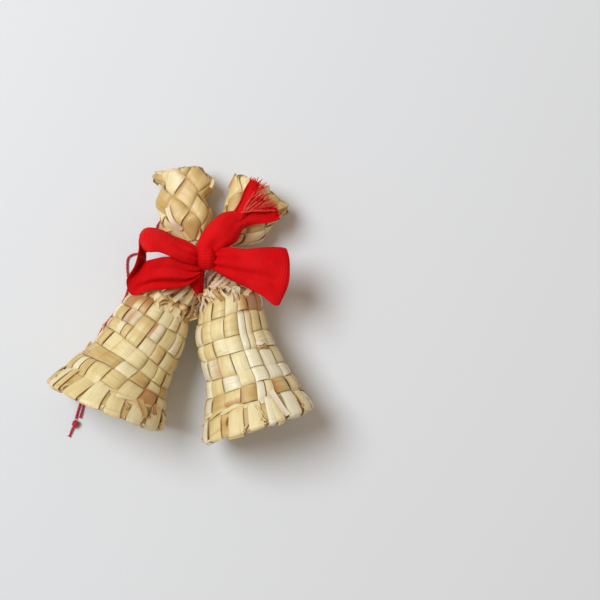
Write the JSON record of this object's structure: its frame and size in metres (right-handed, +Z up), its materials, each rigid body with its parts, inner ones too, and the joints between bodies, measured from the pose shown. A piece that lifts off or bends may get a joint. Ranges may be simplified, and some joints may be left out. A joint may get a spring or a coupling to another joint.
{
  "type": "straw ornament",
  "caption": "Hanging ornament of hollow woven straw bells with plaited straw handles, tied at the necks with a red ribbon bow and a red thread loop.",
  "frame": {"origin": "bottom centre of the whole ornament as it lies on a table, measured without the hanging thread", "axes": "+Y from the bells' mouths towards the handles, +X to the right bell, +Z up from the table"},
  "size_m": [0.0911, 0.0966, 0.0431],
  "materials": {
    "straw_weave": "flattened straw, satin, pale gold",
    "straw_plait": "flattened straw, satin, pale gold",
    "straw_string": "twisted straw string, matte",
    "red_ribbon": "grosgrain ribbon, matte, fine crosswise ribs",
    "red_thread": "two-ply twisted thread, matte"
  },
  "bodies": {
    "root": {"left_bell": "straw_weave", "right_bell": "straw_weave", "left_handle": "straw_plait", "right_handle": "straw_plait", "left_neck_binding": "straw_string", "right_neck_binding": "straw_string", "ribbon_bow": "red_ribbon", "hanging_thread_long": "red_thread", "hanging_thread_short": "red_thread", "thread_knot": "red_thread"}
  },
  "joints": []
}
